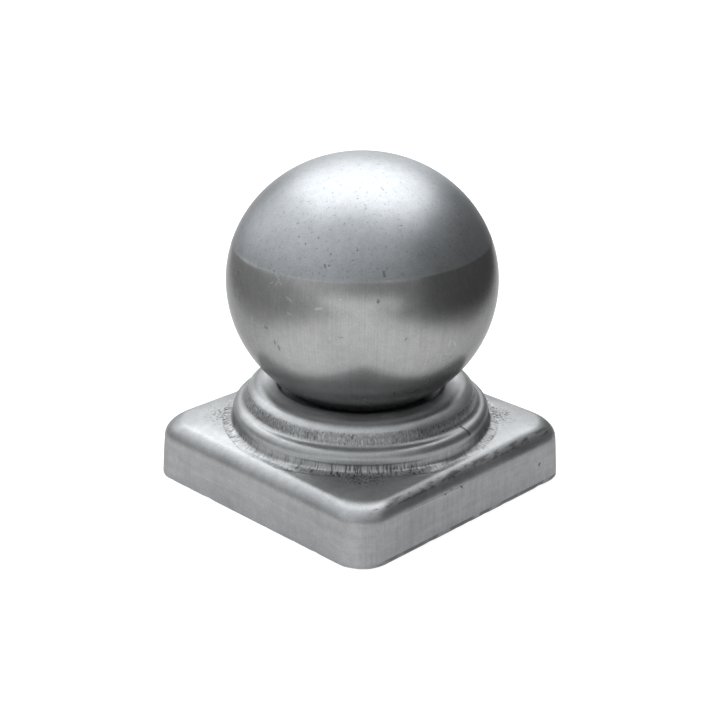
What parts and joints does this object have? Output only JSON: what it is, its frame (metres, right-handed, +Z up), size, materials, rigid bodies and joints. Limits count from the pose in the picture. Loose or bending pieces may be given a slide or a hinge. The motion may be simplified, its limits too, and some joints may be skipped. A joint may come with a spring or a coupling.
{
  "type": "ball post cap",
  "caption": "Pressed steel cap for a square tube post, with a stepped round moulding and a drawn steel ball on top; hollow below to slip over the post's end.",
  "frame": {"origin": "middle of the skirt's lower edge, on the surface the cap stands on", "axes": "+Z up through the ball, X and Y square to the skirt's sides"},
  "size_m": [0.084, 0.084, 0.0925],
  "materials": {
    "pressed_steel": "raw satin sheet with drawing marks",
    "drawn_steel": "raw satin sheet, finely drawn"
  },
  "bodies": {
    "root": {"base_cap": "pressed_steel", "ball": "drawn_steel"}
  },
  "joints": []
}
